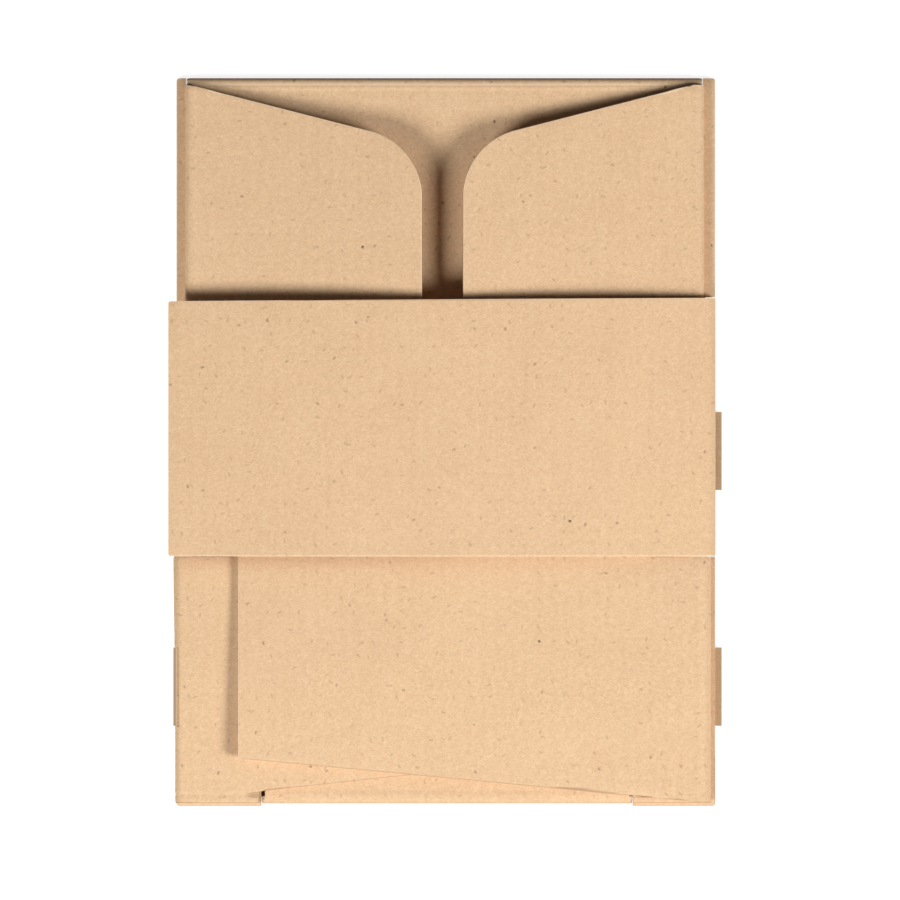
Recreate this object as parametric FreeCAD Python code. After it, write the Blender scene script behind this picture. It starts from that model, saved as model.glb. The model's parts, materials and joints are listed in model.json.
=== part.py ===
import FreeCAD, Part
import math
import os

from FreeCAD import Vector

# Flattened cardboard box: one die-cut sheet of corrugated board folded flat.
# X runs across the base panel, Y along it, Z up. The base panel lies on the ground, the two end
# walls are folded in over it, their ears are folded in over them, and the closing flap, hinged
# at the right-hand edge, lies across the middle on top of all of them.
# Sizes are in millimetres and angles in degrees.

# Board
board_thickness = 3.0
layer_gap = 0.3         # air between two layers that lie on each other
cut_gap = 0.4           # width of a cut between a fold and the panel beside it
cut_corner_radius = 1.2

# Base panel
base_width = 251.0
base_length = 339.0

# Locking lips that stay in the base panel's plane on its long sides
lip_length = 36.5
lip_reach_right = 3.0
lip_reach_left = 1.5
upper_lip_offset = -4.2     # centre of the upper lips, from the middle of the base panel
lower_lip_from_bottom = 55.5
fold_notch_depth = 1.9      # how far the left fold is cut back over the lower left lip

# End walls
end_wall_height = 118.5

# Top end wall with its two short ears
top_inset_left = 4.1        # from the base panel's edge to the outside of the ear's fold
top_inset_right = 5.4
top_fold_end_inset = 0.8    # the top fold stops this far inside the ears' folds
short_ear_gap = 18.7        # between the free edges of the two short ears
short_ear_gap_shift = -0.9
short_ear_taper = 14.5
short_ear_radius = 32.5
short_ear_lift = 5.5
short_ear_setback = 2.0     # the hidden edge stops this far short of the wall's edge

# Bottom end wall with its two long ears
bottom_overhang_left = 0.55
bottom_inset_right = 2.15
bottom_fold_setback = 1.1   # the fold lies this far inside the base panel's bottom edge
bottom_slit_left = 39.9
bottom_slit_right = 38.9
slit_setback = 1.5          # the wall's free corners stop this far inside the base panel
hook_left_length = 4.7
hook_right_length = 9.3
hook_width = 2.3
hook_height = 5.9           # centre of the hooked end of the slit, from the bottom edge
long_ear_margin = 29.5      # from the free edge of a long ear to the opposite fold
left_ear_taper = 6.2
left_ear_shoulder = 39.1
left_ear_step = 5.5
right_ear_taper = 5.47
right_ear_lift = 1.0
long_ear_tuck = 2.0         # how far the long ears reach under the closing flap
long_ear_relief = 26.0      # length beside each fold where they stop short of it

# Closing flap
flap_width = 120.1
flap_offset = 7.0           # centre of the flap, from the middle of the base panel
flap_overhang = 3.6         # how far its free end passes the base panel's left edge
flap_end_rise = 4.6         # height of its free end above its crease
flap_rest_gap = 2.0         # air between its bow and the raised ends of the short ears
flap_end_taper = 1.6        # how much narrower it is at its free end
crease_gap = 0.3            # air between the flap's crease and the strip that carries it

# Levels and places that follow from the sizes above
half_board = board_thickness / 2
layer_pitch = board_thickness + layer_gap
wall_level = layer_pitch
ear_level = 2 * layer_pitch
top_ear_level = 3 * layer_pitch
fold_radius = layer_pitch / 2
fold_reach = fold_radius + half_board
wide_fold_radius = layer_pitch
wide_fold_reach = wide_fold_radius + half_board

half_width = base_width / 2
half_length = base_length / 2
top_left = -half_width + top_inset_left
top_right = half_width - top_inset_right
top_wall_end = half_length - end_wall_height
bottom_left = -half_width - bottom_overhang_left
bottom_right = half_width - bottom_inset_right
bottom_fold_edge = -half_length + bottom_fold_setback
bottom_wall_end = bottom_fold_edge + end_wall_height
slit_edge = -half_length + slit_setback
slit_end_left = -half_width + bottom_slit_left
slit_end_right = half_width - bottom_slit_right
lower_lip_offset = -half_length + lower_lip_from_bottom

flap_top = flap_offset + flap_width / 2
flap_bottom = flap_offset - flap_width / 2
crease_x = half_width - half_board
crease_z = top_ear_level + half_board
flap_end_x = -half_width - flap_overhang

# The part's origin: middle of the whole outline, on the ground
origin_x = (half_width + lip_reach_right + flap_end_x) / 2
far = 10.0                  # how far a cutting outline passes the material it cuts


def box(x_range, y_range, z_range):
    """Block between the given limits."""
    sizes = [high - low for low, high in (x_range, y_range, z_range)]
    return Part.makeBox(*sizes, Vector(x_range[0], y_range[0], z_range[0]))


def outline_prism(corners, z_low, z_high):
    """Upright prism of a closed outline; each corner is (x, y, radius)."""
    edges = []
    previous_end = None
    first_start = None
    count = len(corners)
    for index, (x, y, radius) in enumerate(corners):
        corner = Vector(x, y, z_low)
        before = Vector(*corners[index - 1][:2], z_low)
        after = Vector(*corners[(index + 1) % count][:2], z_low)
        if radius > 0:
            to_before = (before - corner).normalize()
            to_after = (after - corner).normalize()
            half_angle = to_before.getAngle(to_after) / 2
            start = corner + to_before * (radius / math.tan(half_angle))
            end = corner + to_after * (radius / math.tan(half_angle))
            to_centre = (to_before + to_after).normalize()
            middle = corner + to_centre * (radius / math.sin(half_angle) - radius)
            bend = Part.Arc(start, middle, end).toShape()
        else:
            start = end = corner
            bend = None
        if previous_end is None:
            first_start = start
        else:
            edges.append(Part.LineSegment(previous_end, start).toShape())
        if bend:
            edges.append(bend)
        previous_end = end
    edges.append(Part.LineSegment(previous_end, first_start).toShape())
    return Part.Face(Part.Wire(edges)).extrude(Vector(0, 0, z_high - z_low))


def board_section(place, start, heading, steps):
    """Section of a board whose middle line leaves start at heading.

    A step (length, 0) is a flat run; (radius, angle) is a bend, to the left when positive.
    place turns a point (u, w) of the section into a vector.
    """
    u, w = start
    angle = math.radians(heading)

    def at_side(u, w, angle, side):
        return place(u - side * math.sin(angle), w + side * math.cos(angle))

    start_cap = (at_side(u, w, angle, half_board), at_side(u, w, angle, -half_board))
    edges = [Part.LineSegment(*start_cap).toShape()]
    for size, bend in steps:
        if bend:
            turn = math.radians(bend)
            arm = math.copysign(size, bend)
            centre_u = u - arm * math.sin(angle)
            centre_w = w + arm * math.cos(angle)
            stations = []
            for share in (0, 0.5, 1):
                along = angle + share * turn
                stations.append((centre_u + arm * math.sin(along), centre_w - arm * math.cos(along), along))
            for side in (half_board, -half_board):
                edges.append(Part.Arc(*[at_side(*station, side) for station in stations]).toShape())
            u, w, angle = stations[-1]
        else:
            next_u = u + size * math.cos(angle)
            next_w = w + size * math.sin(angle)
            for side in (half_board, -half_board):
                run = (at_side(u, w, angle, side), at_side(next_u, next_w, angle, side))
                edges.append(Part.LineSegment(*run).toShape())
            u, w = next_u, next_w
    edges.append(Part.LineSegment(at_side(u, w, angle, half_board), at_side(u, w, angle, -half_board)).toShape())
    return Part.Face(Part.Wire(Part.sortEdges(edges)[0]))


def base_panel():
    """Base panel with its lips, cut away where the folds leave it."""
    panel = outline_prism(
        [
            (-half_width, -half_length, cut_corner_radius),
            (half_width, -half_length, cut_corner_radius),
            (half_width, half_length, cut_corner_radius),
            (-half_width, half_length, cut_corner_radius),
        ],
        0,
        board_thickness,
    )
    z_range = (-far, far)
    top_fold = box(
        (top_left + top_fold_end_inset - cut_gap, top_right - top_fold_end_inset + cut_gap),
        (half_length - fold_reach, half_length + far),
        z_range,
    )
    bottom_fold = box(
        (slit_end_left - cut_gap, slit_end_right + cut_gap),
        (-half_length - far, bottom_fold_edge + fold_reach),
        z_range,
    )
    side_fold = box(
        (half_width - fold_reach, half_width + far),
        (flap_bottom - cut_gap, flap_top + cut_gap),
        z_range,
    )
    panel = panel.cut(top_fold).cut(bottom_fold).cut(side_fold)
    root = 2 * fold_reach
    for offset in (upper_lip_offset, lower_lip_offset):
        y_range = (offset - lip_length / 2, offset + lip_length / 2)
        right = box((half_width - root, half_width + lip_reach_right), y_range, (0, board_thickness))
        left = box((-half_width - lip_reach_left, -half_width + root), y_range, (0, board_thickness))
        panel = panel.multiFuse([right, left])
    return panel


def cross_fold(x_range, edge_y, outward):
    """Half-turn fold that joins the base panel to an end wall along X."""

    def place(u, w):
        return Vector(x_range[0], edge_y - outward * (fold_reach - u), w)

    section = board_section(place, (-1, half_board), 0, [(1, 0), (fold_radius, 180), (1, 0)])
    return section.extrude(Vector(x_range[1] - x_range[0], 0, 0))


def folded_ear(fold_x, inward, radius, lift, reach, outline):
    """Ear folded in over its end wall: outside of its fold at fold_x, cut to its outline."""
    z_mid = wall_level + half_board
    y_values = [corner[1] for corner in outline]

    def place(u, w):
        return Vector(fold_x + inward * (radius + half_board - u), min(y_values) - far, w)

    steps = [(1, 0), (radius, 180 - lift), (reach + far, 0)]
    strip = board_section(place, (-1, z_mid), 0, steps)
    strip = strip.extrude(Vector(0, max(y_values) - min(y_values) + 2 * far, 0))
    return strip.common(outline_prism(outline, 0, 10 * layer_pitch))


def short_ear(fold_x, inward, free_x):
    """Short ear of the top end wall, with a slanted upper edge and a round corner."""
    start_y = half_length - fold_reach
    slope = math.tan(math.radians(short_ear_taper))
    reach = abs(free_x - fold_x)
    hidden_y = top_wall_end + short_ear_setback
    outline = [
        (fold_x - inward * far, start_y + far * slope, 0),
        (free_x, start_y - reach * slope, short_ear_radius),
        (free_x, hidden_y, cut_corner_radius),
        (fold_x - inward * far, hidden_y, 0),
    ]
    return folded_ear(fold_x, inward, fold_radius, short_ear_lift, reach, outline)


def top_end():
    """Top end wall folded in over the base panel, with its two short ears."""
    wall = box(
        (top_left + fold_reach, top_right - fold_reach),
        (top_wall_end, half_length - fold_reach),
        (wall_level, wall_level + board_thickness),
    )
    fold_range = (top_left + top_fold_end_inset, top_right - top_fold_end_inset)
    gap_middle = (top_left + top_right) / 2 + short_ear_gap_shift
    return [
        wall,
        cross_fold(fold_range, half_length, 1),
        short_ear(top_left, 1, gap_middle - short_ear_gap / 2),
        short_ear(top_right, -1, gap_middle + short_ear_gap / 2),
    ]


def long_ear_upper_edge(fold_x, inward, free_x):
    """Upper edge of a long ear: clear of the closing flap beside the fold, tucked under it beyond."""
    clear_y = flap_bottom - layer_gap
    tucked_y = flap_bottom + long_ear_tuck
    relief_x = fold_x + inward * long_ear_relief
    return [
        (free_x, tucked_y, cut_corner_radius),
        (relief_x + inward * (tucked_y - clear_y), tucked_y, 0),
        (relief_x, clear_y, 0),
        (fold_x - inward * far, clear_y, 0),
    ]


def left_long_ear():
    """Lower of the two long ears, with a shoulder beside its fold."""
    free_x = bottom_right - long_ear_margin
    step_x = bottom_left + left_ear_shoulder
    step_y = slit_edge + left_ear_step
    free_y = step_y + (free_x - step_x) * math.tan(math.radians(left_ear_taper))
    outline = [
        (bottom_left - far, slit_edge, 0),
        (step_x, slit_edge, cut_corner_radius),
        (step_x, step_y, 0),
        (free_x, free_y, cut_corner_radius),
    ] + long_ear_upper_edge(bottom_left, 1, free_x)
    return folded_ear(bottom_left, 1, fold_radius, 0, free_x - bottom_left, outline)


def right_long_ear():
    """Upper of the two long ears: its fold is wider, to pass over the left one."""
    free_x = bottom_left + long_ear_margin
    slope = math.tan(math.radians(right_ear_taper))
    outline = [
        (bottom_right + far, slit_edge - far * slope, 0),
        (free_x, slit_edge + (bottom_right - free_x) * slope, cut_corner_radius),
    ] + long_ear_upper_edge(bottom_right, -1, free_x)
    return folded_ear(bottom_right, -1, wide_fold_radius, right_ear_lift, bottom_right - free_x, outline)


def bottom_end():
    """Bottom end wall, slit free of the base panel at both corners, with its two long ears."""
    wall = outline_prism(
        [
            (bottom_left + fold_reach, slit_edge, 0),
            (slit_end_left - cut_gap, slit_edge, 0),
            (slit_end_left - cut_gap, bottom_fold_edge + fold_reach, 0),
            (slit_end_right + cut_gap, bottom_fold_edge + fold_reach, 0),
            (slit_end_right + cut_gap, slit_edge, 0),
            (bottom_right - wide_fold_reach, slit_edge, 0),
            (bottom_right - wide_fold_reach, bottom_wall_end, 0),
            (bottom_left + fold_reach, bottom_wall_end, 0),
        ],
        wall_level,
        wall_level + board_thickness,
    )
    hook_y = -half_length + hook_height
    hook_range = (hook_y - hook_width / 2, hook_y + hook_width / 2)
    wall_range = (wall_level - layer_gap, wall_level + board_thickness + layer_gap)
    hooks = [
        box((slit_end_left - cut_gap, slit_end_left + hook_left_length), hook_range, wall_range),
        box((slit_end_right - hook_right_length, slit_end_right + cut_gap), hook_range, wall_range),
    ]
    for end_x, low in ((slit_end_left, -cut_gap), (slit_end_right, 0)):
        hooks.append(box((end_x + low, end_x + low + cut_gap), (slit_edge, hook_y), wall_range))
    for hook in hooks:
        wall = wall.cut(hook)
    notch = box(
        (bottom_left - far, bottom_left + fold_notch_depth),
        (lower_lip_offset - lip_length / 2, lower_lip_offset + lip_length / 2),
        (board_thickness + layer_gap / 2, 10 * layer_pitch),
    )
    return [
        wall,
        cross_fold((slit_end_left, slit_end_right), bottom_fold_edge, -1),
        left_long_ear().cut(notch),
        right_long_ear(),
    ]


def side_strip():
    """Low strip that rises from the base panel's right edge and carries the closing flap."""

    def place(u, w):
        return Vector(half_width - fold_reach + u, flap_bottom, w)

    top = crease_z - half_board - crease_gap
    steps = [(1, 0), (fold_radius, 90), (top - fold_reach, 0)]
    strip = board_section(place, (-1, half_board), 0, steps).extrude(Vector(0, flap_width, 0))
    window = box(
        (half_width - fold_reach, half_width + far),
        (upper_lip_offset - lip_length / 2, upper_lip_offset + lip_length / 2),
        (-far, board_thickness + lip_reach_right),
    )
    return strip.cut(window)


def closing_flap():
    """Closing flap: bowed up in the middle, with a round nose on its crease."""
    span = math.hypot(crease_x - flap_end_x, flap_end_rise)
    chord_angle = math.degrees(math.atan2(flap_end_rise, crease_x - flap_end_x))
    ear_reach = (top_right - top_left - short_ear_gap) / 2
    ear_end_z = ear_level + board_thickness + ear_reach * math.sin(math.radians(short_ear_lift))
    bow = ear_end_z + flap_rest_gap + half_board - crease_z - flap_end_rise / 2
    bow_radius = span * span / (8 * bow) + bow / 2
    half_turn = math.degrees(math.asin(span / 2 / bow_radius))

    def place(u, w):
        return Vector(u, flap_bottom - far, w)

    heading = 180 - chord_angle - half_turn
    section = board_section(place, (crease_x, crease_z), heading, [(bow_radius, 2 * half_turn)])
    length = flap_width + 2 * far
    board = section.extrude(Vector(0, length, 0))
    nose = Part.makeCylinder(half_board, length, Vector(crease_x, flap_bottom - far, crease_z), Vector(0, 1, 0))
    outline = outline_prism(
        [
            (half_width + far, flap_bottom, 0),
            (half_width + far, flap_top, 0),
            (crease_x, flap_top, 0),
            (flap_end_x, flap_top - flap_end_taper, cut_corner_radius),
            (flap_end_x, flap_bottom, cut_corner_radius),
        ],
        0,
        20 * layer_pitch,
    )
    return board.fuse(nose).common(outline).removeSplitter()


def folded_blank():
    """All of the sheet but the closing flap, as one solid."""
    pieces = top_end() + bottom_end() + [side_strip()]
    return base_panel().multiFuse(pieces).removeSplitter()


def main():
    os.makedirs("parts", exist_ok=True)
    for name, shape in (("folded_blank", folded_blank()), ("closing_flap", closing_flap())):
        solid = shape.Solids[0] if len(shape.Solids) == 1 else shape
        solid.translate(Vector(-origin_x, 0, 0))
        solid.exportStep(f"parts/{name}.step")


main()
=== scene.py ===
import json
import math

import bmesh
import bpy
from bpy.props import FloatProperty, FloatVectorProperty, PointerProperty
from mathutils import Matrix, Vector


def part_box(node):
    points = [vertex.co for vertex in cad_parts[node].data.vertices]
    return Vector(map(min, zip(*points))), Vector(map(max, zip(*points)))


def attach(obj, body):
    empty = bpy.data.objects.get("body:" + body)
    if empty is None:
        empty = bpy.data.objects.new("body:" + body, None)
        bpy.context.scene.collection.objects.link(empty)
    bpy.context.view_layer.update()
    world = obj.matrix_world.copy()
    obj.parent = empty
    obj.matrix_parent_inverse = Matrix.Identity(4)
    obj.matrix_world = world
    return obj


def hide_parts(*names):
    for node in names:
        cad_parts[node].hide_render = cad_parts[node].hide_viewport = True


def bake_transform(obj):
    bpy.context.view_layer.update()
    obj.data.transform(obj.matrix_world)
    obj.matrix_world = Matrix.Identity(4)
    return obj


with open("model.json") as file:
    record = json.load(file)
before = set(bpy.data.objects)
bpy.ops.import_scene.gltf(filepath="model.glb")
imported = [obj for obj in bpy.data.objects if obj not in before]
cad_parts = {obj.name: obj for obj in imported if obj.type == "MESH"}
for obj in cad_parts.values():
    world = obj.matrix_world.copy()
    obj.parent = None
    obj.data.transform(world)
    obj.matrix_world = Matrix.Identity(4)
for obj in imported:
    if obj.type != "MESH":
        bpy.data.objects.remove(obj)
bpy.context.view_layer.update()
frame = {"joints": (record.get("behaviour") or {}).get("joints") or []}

bl_info = {
    "name": "Flattened cardboard box",
    "version": (1, 0, 0),
    "blender": (4, 5, 0),
    "location": "3D View > Sidebar > Box",
    "description": "Folds a box blank of corrugated board flat, with its closing flap on top",
    "category": "Add Mesh",
}

# Everything is in metres; MM turns millimetres into metres.
MM = 0.001
SHEET = "folded_sheet"
FLAP = "closing_flap_board"
BLANK_BODY = "blank"
CUT_EDGE = "cut_edge"
TINY = 0.01 * MM


def length(name, description, millimetres):
    default = millimetres * MM
    return FloatProperty(name=name, description=description, default=default, unit="LENGTH")


def angle(name, description, degrees):
    default = math.radians(degrees)
    return FloatProperty(name=name, description=description, default=default, subtype="ANGLE")


def colour(name, description, default):
    settings = {"default": default, "size": 3, "subtype": "COLOR"}
    return FloatVectorProperty(name=name, description=description, **settings)


class BoxSizes(bpy.types.PropertyGroup):
    """Sizes of the blank that its two solids do not give by their corners."""

    layer_gap: length("Layer gap", "Air between two layers that lie on each other", 0.3)
    cut_gap: length("Cut gap", "Width of a cut between a fold and the panel beside it", 0.4)
    lip_length: length("Lip length", "Length of a locking lip along the side", 36.5)
    lip_right: length("Right lip", "Reach of the right-hand lips past the base panel", 3.0)
    lip_left: length("Left lip", "Reach of the left-hand lips past the base panel", 1.5)
    upper_lip: length("Upper lip place", "Centre of the upper lips from the middle", -4.2)
    lower_lip: length("Lower lip place", "Centre of the lower lips from the bottom edge", 55.5)
    wall_height: length("End wall", "Height of both end walls", 118.5)
    top_left: length("Top fold left", "From the base panel's edge to the left short ear's fold", 4.1)
    top_right: length("Top fold right", "From the base panel's edge to the right short ear's fold", 5.4)
    top_fold_inset: length("Top fold end", "How far the top fold stops inside the ears' folds", 0.8)
    short_gap: length("Short ear gap", "Between the free edges of the short ears", 18.7)
    short_shift: length("Short ear shift", "Place of that gap from the middle", -0.9)
    short_taper: angle("Short ear taper", "Slant of the short ears' upper edges", 14.5)
    short_rise_left: length("Left ear rise", "The left ear's slant starts so far above the fold", 0.4)
    short_rise_right: length("Right ear rise", "The right ear's slant starts so far above the fold", 1.2)
    short_radius: length("Short ear corner", "Radius of the short ears' round corners", 32.5)
    short_lift: angle("Short ear lift", "How far the short ears spring up", 5.5)
    short_setback: length("Short ear setback", "Hidden edge from the wall's edge", 2.0)
    bottom_left: length("Bottom fold left", "Left long ear's fold outside the base panel", 0.55)
    bottom_right: length("Bottom fold right", "Right long ear's fold inside the base panel", 2.15)
    bottom_setback: length("Bottom fold", "Bottom fold inside the base panel's edge", 1.1)
    slit_left: length("Left slit", "Length of the slit at the bottom left corner", 39.9)
    slit_right: length("Right slit", "Length of the slit at the bottom right corner", 38.9)
    slit_setback: length("Slit setback", "Wall's free corners inside the base panel", 1.5)
    hook_left: length("Left hook", "Length of the left slit's hooked end", 4.7)
    hook_right: length("Right hook", "Length of the right slit's hooked end", 9.3)
    hook_width: length("Hook width", "Width of the hooked ends", 2.3)
    hook_height: length("Hook height", "Centre of the hooked ends from the bottom edge", 5.9)
    long_margin: length("Long ear margin", "Free edge of a long ear from the opposite fold", 29.5)
    left_taper: angle("Left long ear taper", "Slant of the left long ear's lower edge", 6.2)
    left_shoulder: length("Shoulder", "Length of the left long ear's shoulder", 39.1)
    left_step: length("Shoulder step", "Height of the left long ear's shoulder", 5.5)
    right_taper: angle("Right long ear taper", "Slant of the right long ear's lower edge", 5.47)
    right_lift: angle("Right long ear lift", "How far the right long ear rises", 0.0)
    corner_spring: length("Corner spring", "How far the right long ear's free corner stands up", 3.0)
    ear_spring: length("Ear spring", "How far the long ears spring up below the flap", 2.3)
    fold_bulge: length("Fold bulge", "How far the lower left fold bulges out below the flap", 1.6)
    long_tuck: length("Tuck", "How far the long ears reach under the closing flap", 2.0)
    long_relief: length("Relief", "Length beside a fold that stays clear of the flap", 26.0)
    flap_rise: length("Flap end", "Height of the flap's free end above its crease", 4.6)
    flap_taper: length("Flap taper", "How much narrower the flap is at its free end", 1.6)
    flap_corner: length("Flap corner", "Bend radius of the flap's crease", 3.6)
    corner_radius: length("Cut corners", "Radius of the rounded corners of the cut blank", 1.3)
    edge_crush: length("Crushed edge", "Width of the edge that the die pressed down", 0.9)
    flute_pitch: length("Flute pitch", "Distance between two flutes of the board", 6.5)


class BoxColours(bpy.types.PropertyGroup):
    """Colours of the board."""

    kraft_pale: colour("Pale kraft", "Colour of the liners where they are palest", (0.900, 0.635, 0.395))
    kraft_dark: colour("Dark kraft", "Colour of the liners where they are darkest", (0.680, 0.440, 0.255))
    pale_fibre: colour("Pale fibres", "Colour of pale fibres and of worn cut edges", (0.950, 0.760, 0.540))
    # Dark fibres; the same colour is also the painted shade on the lips and at the bottom cut edges
    dark_fibre_and_shade: colour("Dark fibres", "Colour of the dark fibres", (0.330, 0.195, 0.100))
    speck: colour("Specks", "Colour of the bark specks", (0.070, 0.038, 0.018))
    cut_paper: colour("Cut paper", "Colour of the liners' cut edges", (0.700, 0.450, 0.250))
    # Painted shade: the dark colour that stands in for the shade inside the flutes at the flat cut edges
    cavity_shade: colour("Flute cavity", "Colour inside the flutes", (0.210, 0.110, 0.050))
    floor: colour("Floor", "Colour of the floor's paper", (0.420, 0.420, 0.420))


class Plan:
    """Places worked out from the corners of the two solids and the sizes in the panel."""

    def __init__(self, sizes):
        blank_low, blank_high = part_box("folded_blank")
        flap_low, flap_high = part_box("closing_flap")
        self.sizes = sizes
        self.crease = Vector(frame["joints"][0]["pos_m"])
        self.right = flap_high.x
        self.left = blank_low.x + sizes.lip_left
        self.half_length = blank_high.y
        self.board = 2 * (self.right - self.crease.x)
        self.flap_top, self.flap_bottom, self.flap_end = flap_high.y, flap_low.y, flap_low.x
        self.flap_crown = flap_high.z
        half = self.board / 2
        pitch = self.board + sizes.layer_gap
        levels = [half + layer * pitch for layer in range(4)]
        self.base_z, self.wall_z, self.ear_z, self.top_ear_z = levels
        self.fold = pitch / 2
        self.wide_fold = pitch
        self.reach = self.fold + half
        self.wide_reach = self.wide_fold + half
        self.lower_lip = -self.half_length + sizes.lower_lip
        self.top_edge = self.half_length - self.reach
        self.top_wall_end = self.half_length - sizes.wall_height
        self.top_left = self.left + sizes.top_left
        self.top_right = self.right - sizes.top_right
        self.bottom_edge = -self.half_length + sizes.bottom_setback + self.reach
        self.bottom_wall_end = -self.half_length + sizes.bottom_setback + sizes.wall_height
        self.bottom_left = self.left - sizes.bottom_left
        self.bottom_right = self.right - sizes.bottom_right
        self.slit_edge = -self.half_length + sizes.slit_setback
        self.slit_left = self.left + sizes.slit_left
        self.slit_right = self.right - sizes.slit_right
        self.side_fold = self.right - self.reach
        self.root = self.side_fold - 1.5 * MM
        self.hidden_edge = self.top_wall_end + sizes.short_setback
        self.tucked_edge = self.flap_bottom + sizes.long_tuck
        self.left_wall_side = self.bottom_left + self.reach

    def lip_range(self, place):
        return place - self.sizes.lip_length / 2, place + self.sizes.lip_length / 2


def start_object_mode():
    """Object mode with nothing selected."""
    if bpy.context.object and bpy.context.object.mode != "OBJECT":
        bpy.ops.object.mode_set(mode="OBJECT")
    bpy.ops.object.select_all(action="DESELECT")


def open_piece(piece):
    """Edit mode on one piece, with nothing selected."""
    start_object_mode()
    bpy.context.view_layer.objects.active = piece
    piece.select_set(True)
    bpy.ops.object.mode_set(mode="EDIT")
    bpy.ops.mesh.select_all(action="DESELECT")


def new_sheet(name, x_range, y_range, z):
    """Start a board as a flat sheet at its middle plane, and open it."""
    start_object_mode()
    bpy.ops.mesh.primitive_plane_add(size=1)
    piece = bpy.context.object
    piece.name = name
    piece.data.name = name
    bpy.ops.object.mode_set(mode="EDIT")
    spans = (x_range[1] - x_range[0], y_range[1] - y_range[0], 1)
    bpy.ops.transform.resize(value=spans)
    middle = (sum(x_range) / 2, sum(y_range) / 2, z)
    bpy.ops.transform.translate(value=middle)
    return piece


def middle_of(item):
    corners = [vert.co for vert in item.verts]
    return sum(corners, Vector()) / len(corners)


def pick(piece, kind, test):
    """Select the faces or the open edges whose middle passes the test."""
    bpy.ops.mesh.select_mode(type="FACE" if kind == "faces" else "EDGE")
    bpy.ops.mesh.select_all(action="DESELECT")
    work = bmesh.from_edit_mesh(piece.data)
    found = 0
    for item in getattr(work, kind):
        if kind == "edges" and not item.is_boundary:
            continue
        if test(middle_of(item)):
            item.select_set(True)
            found += 1
    if not found:
        raise RuntimeError(f"{piece.name}: no {kind} at this place")
    work.select_flush_mode()
    bmesh.update_edit_mesh(piece.data)


def pick_by_width(piece, width, wider, end=0):
    """Select the faces wider than a width, or the others.

    An end of 1 keeps to the top half of the box, -1 to the bottom half and 0 to neither.
    """
    bpy.ops.mesh.select_mode(type="FACE")
    bpy.ops.mesh.select_all(action="DESELECT")
    work = bmesh.from_edit_mesh(piece.data)
    for face in work.faces:
        fits = (2 * face.calc_area() / face.calc_perimeter() > width) == wider
        face.select_set(fits and face.calc_center_median().y * end >= 0)
    bmesh.update_edit_mesh(piece.data)


def cut(piece, test, point, normal, drop=False):
    """Cut the faces that pass the test along a plane; drop takes away what lies beyond it."""
    pick(piece, "faces", test)
    bpy.ops.mesh.bisect(plane_co=point, plane_no=normal, threshold=TINY)
    if drop:
        point, normal = Vector(point), Vector(normal)
        remove(piece, lambda middle: test(middle) and (middle - point).dot(normal) > 0)


def cut_across(piece, test, xs=(), ys=()):
    """Cut the faces that pass the test along lines of constant x and of constant y."""
    for x in sorted(set(xs)):
        cut(piece, test, (x, 0, 0), (1, 0, 0))
    for y in sorted(set(ys)):
        cut(piece, test, (0, y, 0), (0, 1, 0))


def remove(piece, test):
    pick(piece, "faces", test)
    bpy.ops.mesh.delete(type="FACE")


def fold(centre, axis, degrees, steps=12):
    """Turn the selected edges about an axis, by the right-hand rule, leaving board behind them."""
    turned = [-part for part in axis]
    bpy.ops.mesh.spin(steps=steps, angle=math.radians(degrees), center=centre, axis=turned)


def run(*moves):
    """Draw the selected edges out along each move in turn, leaving board behind them."""
    for move in moves:
        bpy.ops.mesh.extrude_region_move(TRANSFORM_OT_translate={"value": tuple(move)})


def score_run(direction, up, total, parts=1):
    """Run on from a fold: over the ridge and the valley that scoring leaves beside it, then flat."""
    ridge = [(0.9, 0.12), (0.9, -0.06), (1.2, -0.16), (1.5, 0.10)]
    for along, rise in ridge:
        run(direction * along * MM + up * rise * MM)
    rest = total - sum(along for along, rise in ridge) * MM
    for part in range(parts):
        run(direction * (rest / parts))


def spaced(low, high, step):
    """Places about step apart, between low and high."""
    count = max(1, round((high - low) / step))
    return [low + (high - low) * index / count for index in range(1, count)]


def is_everything(middle):
    return True


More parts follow.
